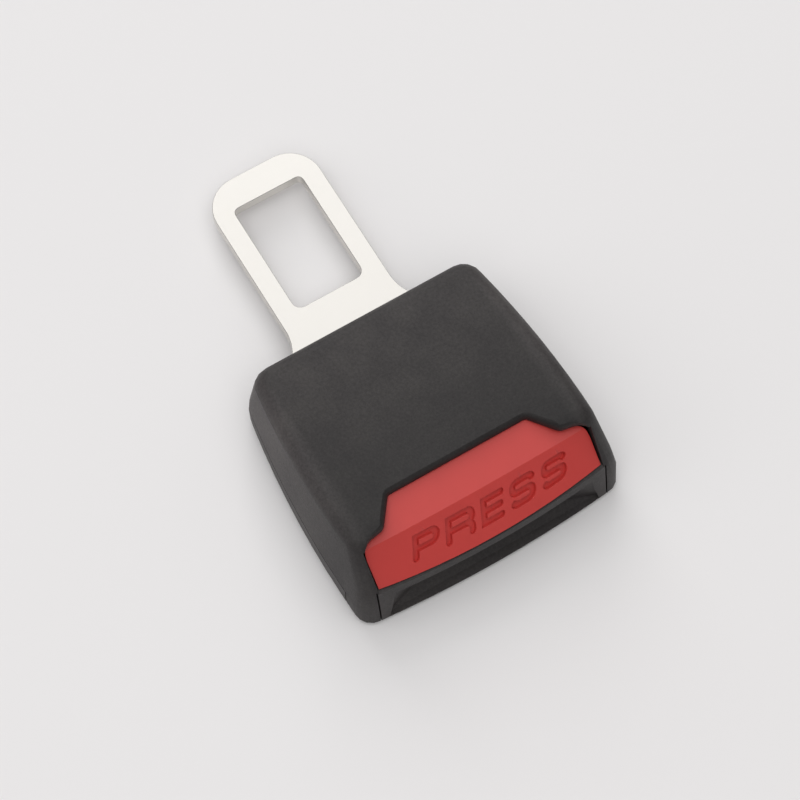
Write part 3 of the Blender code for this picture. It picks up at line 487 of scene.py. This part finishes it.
def word_cutter(settings, button):
    """The whole word as one cutter that lies on the button's press face."""
    tree = skin_tree(button)

    def face_x(along, height):
        start = Vector((1.0, along, height))
        return tree.ray_cast(start, Vector((-1.0, 0.0, 0.0)))[0].x

    foot = settings.word_foot
    rise = Vector((face_x(0.0, foot + 1.0 * MM) - face_x(0.0, foot), 0.0, 1.0 * MM)).normalized()
    outward = Vector((rise.z, 0.0, -rise.x))
    half = settings.stroke / 2
    height = settings.letter_height - settings.stroke
    count = len(settings.word)
    shares = [LETTER_SHARES[letter] for letter in settings.word]
    scale = (settings.word_length - settings.letter_gap * (count - 1)) / sum(shares)
    along = WORD_SHIFT - settings.word_length / 2
    built = bmesh.new()
    for letter, share in zip(settings.word, shares):
        left = along + half

        def place(point, lift, left=left):
            up = point.y + half
            y = left + point.x + LETTER_SLANT * up
            z = foot + rise.z * up
            return Vector((face_x(y, z), y, z)) + outward * lift

        for path in LETTERS[letter](share * scale - settings.stroke, height):
            groove(built, path, half, settings.letter_depth, place)
        along += share * scale + settings.letter_gap
    bmesh.ops.recalc_face_normals(built, faces=built.faces)
    mesh = bpy.data.meshes.new("word_cutter")
    built.to_mesh(mesh)
    built.free()
    return bpy.data.objects.new("word_cutter", mesh)


# Operators, one for each group of like pieces and one for the stage

UPPER_SHELL_PAINTED_LIGHT = (0.5, 2.2)          # shares of painted light and shade on the skin's colour at the mouth's end and on the sides
LOWER_SHELL_PAINTED_LIGHT = (1.2, 1.3)
MOUTH_TOP_X = 23.5 * MM
MOUTH_TOP_Z = 8.0 * MM
MOUTH_LIFT = Vector((-0.13, 0.0, 1.2)) * MM


def lift_mouth_top(tray):
    """Raises the mouth's upper front edge, so that a slim bar stays below the button."""
    for vertex in tray.data.vertices:
        if vertex.co.x > MOUTH_TOP_X and abs(vertex.co.z - MOUTH_TOP_Z) < 0.1 * MM:
            vertex.co += MOUTH_LIFT


class EXTENDER_OT_housing(bpy.types.Operator):
    """Finish the two moulded shells"""
    bl_idname = "extender.housing"
    bl_label = "Housing shells"

    def execute(self, context):
        settings = settings_of(context).housing
        upper = moulded_abs(settings, "moulded ABS, upper shell", *UPPER_SHELL_PAINTED_LIGHT)
        lower = moulded_abs(settings, "moulded ABS, lower shell", *LOWER_SHELL_PAINTED_LIGHT)
        dress("upper_housing", "upper_shell", upper, "housing", "housing_plastic", settings.edge)
        tray = dress("lower_housing", "lower_shell", lower, "housing", "housing_plastic", settings.edge)
        lift_mouth_top(tray)
        return {"FINISHED"}


class EXTENDER_OT_button(bpy.types.Operator):
    """Finish the red button and sink its word into the press face"""
    bl_idname = "extender.button"
    bl_label = "Press button"

    def execute(self, context):
        settings = settings_of(context).button
        button = node_copy("release_button", "press_button")
        plane_crease(button)
        cutter = word_cutter(settings, button)
        context.collection.objects.link(cutter)
        round_edges(button, settings.edge)
        apply_modifiers(button)
        skin = skin_tree(button)
        faces_before = len(button.data.polygons)
        sunk = button.modifiers.new("sunk word", "BOOLEAN")
        sunk.solver = "EXACT"
        sunk.use_self = True
        sunk.object = cutter
        apply_modifiers(button)
        bpy.data.objects.remove(cutter, do_unlink=True)
        if len(button.data.polygons) <= faces_before:
            raise RuntimeError("the word wasn't cut into the button")
        button.data.materials.clear()
        button.data.materials.append(moulded_red(settings, settings.colour, "moulded red ABS"))
        # the second material, a paler red on the lowest edge, is a painted highlight
        button.data.materials.append(moulded_red(settings, settings.edge_highlight, "red ABS, painted edge highlight"))
        paint_lower_edge_highlight(button)
        shade(button)
        for face in button.data.polygons:
            face.use_smooth = skin.find_nearest(face.center)[3] < SKIN_REACH
        soften_normals(button)
        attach(button, "button")
        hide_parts("release_button")
        return {"FINISHED"}


class EXTENDER_OT_tongue(bpy.types.Operator):
    """Finish the plated steel tongue"""
    bl_idname = "extender.tongue"
    bl_label = "Steel tongue"

    def execute(self, context):
        settings = settings_of(context).steel
        # tumbled plating is bright and slightly satin; the rounded edges get a duller steel in a darker
        # colour, a painted shade along the tongue's outline
        material = steel("tumbled bright plated steel", settings.plating, settings.roughness, 0.5, 1.0)
        edges = steel("steel edge, painted shade", settings.edge_shade, 0.45, 0.4, 1.0)
        tongue = dress("tongue_plate", "tongue", material, "housing", "tongue_steel", settings.edge)
        tongue.data.materials.append(edges)
        # the rounded edges take the darker material: painted shade along the tongue's outline
        tongue.modifiers["small radii"].material = 1
        return {"FINISHED"}


COMPRESSED = (
    # coil, joint that closes it, axis, fixed end in mm, share of its length that stays
    ("ejector_coil", "ejector_slide", (1.0, 0.0, 0.0), (-15.9, 0.0, 5.1), 0.42),
    ("latch_coil", "latch_swing", (0.0, 0.0, 1.0), (-5.0, 0.0, 14.0), 0.36),
    ("button_coil_left", "button_press", (1.0, 0.0, 0.0), (-9.6, 20.4, 6.5), 0.76),
    ("button_coil_right", "button_press", (1.0, 0.0, 0.0), (-9.6, -20.4, 6.5), 0.76),
)


class EXTENDER_OT_mechanism(bpy.types.Operator):
    """Finish the stamped frame, latch, rivets, pin, ejector and springs"""
    bl_idname = "extender.mechanism"
    bl_label = "Mechanism"

    def execute(self, context):
        settings = settings_of(context).steel
        # zinc over stamped steel is grey with long faint streaks, drawn wire is even and glossier
        zinc = steel("zinc plated stamped steel", settings.zinc, 0.38, 0.8, 0.2)
        wire = steel("drawn spring wire", settings.wire, 0.3, 0.3, 1.0)
        acetal = moulded_acetal()
        inner = (
            ("buckle_frame", "frame_channel", zinc, "housing", "frame_steel", settings.edge),
            ("latch_plate", "latch", zinc, "latch", "frame_steel", settings.edge),
            ("latch_pivot_pin", "pivot_pin", zinc, "housing", "frame_steel", 0.0),
            ("tongue_rivet_left", "rivet_left", zinc, "housing", "frame_steel", 0.0),
            ("tongue_rivet_right", "rivet_right", zinc, "housing", "frame_steel", 0.0),
            ("ejector", "ejector_fork", acetal, "ejector", "ejector_plastic", settings.edge),
            ("ejector_spring", "ejector_coil", wire, "housing", "spring_steel", 0.0),
            ("latch_spring", "latch_coil", wire, "housing", "spring_steel", 0.0),
            ("button_spring_left", "button_coil_left", wire, "housing", "spring_steel", 0.0),
            ("button_spring_right", "button_coil_right", wire, "housing", "spring_steel", 0.0),
        )
        made = {name: dress(node, name, material, body, slot, edge, 50.0)
                for node, name, material, body, slot, edge in inner}
        for name, joint, axis, fixed_end, share in COMPRESSED:
            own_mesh(made[name])
        return {"FINISHED"}


AIM = Vector((-7.2, -0.98, 10.0)) * MM
LAMPS = (
    # name, azimuth and height of where the light comes from in degrees, size in m, power in W
    ("key softbox", 165.0, 35.0, 1.2, 10.0),
    ("overhead softbox", 90.0, 89.0, 1.8, 9.5),
    ("side softbox", 250.0, 35.0, 1.2, 3.0),
    ("front softbox", 329.0, 67.0, 1.6, 8.0),
)
LAMP_DISTANCE = 1.6
FLOOR_HALF = 2.0
SENSOR_WIDTH = 36.0
SKY_STRENGTH = 0.24


class EXTENDER_OT_stage(bpy.types.Operator):
    """Set the pale floor, the soft studio light and the camera"""
    bl_idname = "extender.stage"
    bl_label = "Stage"

    def execute(self, context):
        settings = settings_of(context).stage
        self.floor(context, settings)
        self.light(context)
        self.camera(context, settings)
        context.scene.view_settings.view_transform = "Standard"
        return {"FINISHED"}

    def floor(self, context, settings):
        built = bmesh.new()
        bmesh.ops.create_grid(built, x_segments=1, y_segments=1, size=FLOOR_HALF)
        mesh = bpy.data.meshes.new("floor")
        built.to_mesh(mesh)
        built.free()
        floor = bpy.data.objects.new("floor", mesh)
        context.collection.objects.link(floor)
        # matt paper gives an even pale ground with soft shadows and no gloss
        material, tree, shader = new_material("matt paper sweep")
        place = add(tree, "ShaderNodeTexCoord")
        fibre = add(tree, "ShaderNodeTexNoise", {"Scale": per_metre(1.5 * MM), "Detail": 4.0},
                    {"Vector": place.outputs["Object"]})
        roughen(tree, shader, fibre.outputs["Fac"], 0.05, 0.05 * MM)
        shader.inputs["Base Color"].default_value = (*settings.floor, 1.0)
        shader.inputs["Roughness"].default_value = 0.9
        shader.inputs["Specular IOR Level"].default_value = 0.1
        mesh.materials.append(material)

    def light(self, context):
        world = bpy.data.worlds.new("studio")
        context.scene.world = world
        world.use_nodes = True
        background = world.node_tree.nodes["Background"]
        background.inputs["Color"].default_value = (1.0, 1.0, 1.0, 1.0)
        background.inputs["Strength"].default_value = SKY_STRENGTH
        for name, azimuth, height, size, power in LAMPS:
            lamp = bpy.data.lights.new(name, "AREA")
            lamp.shape = "SQUARE"
            lamp.size = size
            lamp.energy = power
            holder = bpy.data.objects.new(name, lamp)
            turn = math.radians(azimuth)
            lift = math.radians(height)
            way = Vector((math.cos(turn) * math.cos(lift), math.sin(turn) * math.cos(lift),
                          math.sin(lift)))
            holder.location = AIM + way * LAMP_DISTANCE
            holder.rotation_euler = way.to_track_quat("Z", "Y").to_euler()
            context.collection.objects.link(holder)

    def camera(self, context, settings):
        lens = bpy.data.cameras.new("camera")
        lens.lens = settings.focal
        lens.sensor_width = SENSOR_WIDTH
        holder = bpy.data.objects.new("camera", lens)
        flat = math.cos(settings.elevation)
        away = Vector((math.sin(settings.azimuth) * flat, -math.cos(settings.azimuth) * flat,
                       math.sin(settings.elevation)))
        holder.location = AIM + away * settings.distance
        holder.rotation_euler = away.to_track_quat("Z", "Y").to_euler()
        context.collection.objects.link(holder)
        context.scene.camera = holder


class EXTENDER_PT_panel(bpy.types.Panel):
    """Lists the extender's pieces and settings"""
    bl_idname = "EXTENDER_PT_panel"
    bl_label = "Seat Belt Extender"
    bl_space_type = "VIEW_3D"
    bl_region_type = "UI"
    bl_category = "Extender"

    def draw(self, context):
        settings = settings_of(context)
        groups = (("extender.housing", settings.housing), ("extender.button", settings.button),
                  ("extender.tongue", settings.steel), ("extender.mechanism", None),
                  ("extender.stage", settings.stage))
        for operator, group in groups:
            part = self.layout.box()
            part.operator(operator)
            if group is not None:
                for key in group.__annotations__:
                    part.prop(group, key)


CLASSES = (
    HousingSettings, ButtonSettings, SteelSettings, StageSettings, ExtenderSettings,
    EXTENDER_OT_housing, EXTENDER_OT_button, EXTENDER_OT_tongue, EXTENDER_OT_mechanism,
    EXTENDER_OT_stage, EXTENDER_PT_panel,
)


def register():
    for item in CLASSES:
        bpy.utils.register_class(item)
    bpy.types.Scene.extender = PointerProperty(type=ExtenderSettings)


def unregister():
    del bpy.types.Scene.extender
    for item in reversed(CLASSES):
        bpy.utils.unregister_class(item)


def main():
    register()
    bpy.ops.extender.housing()
    bpy.ops.extender.button()
    bpy.ops.extender.tongue()
    bpy.ops.extender.mechanism()
    bpy.ops.extender.stage()


if __name__ == "__main__":
    main()
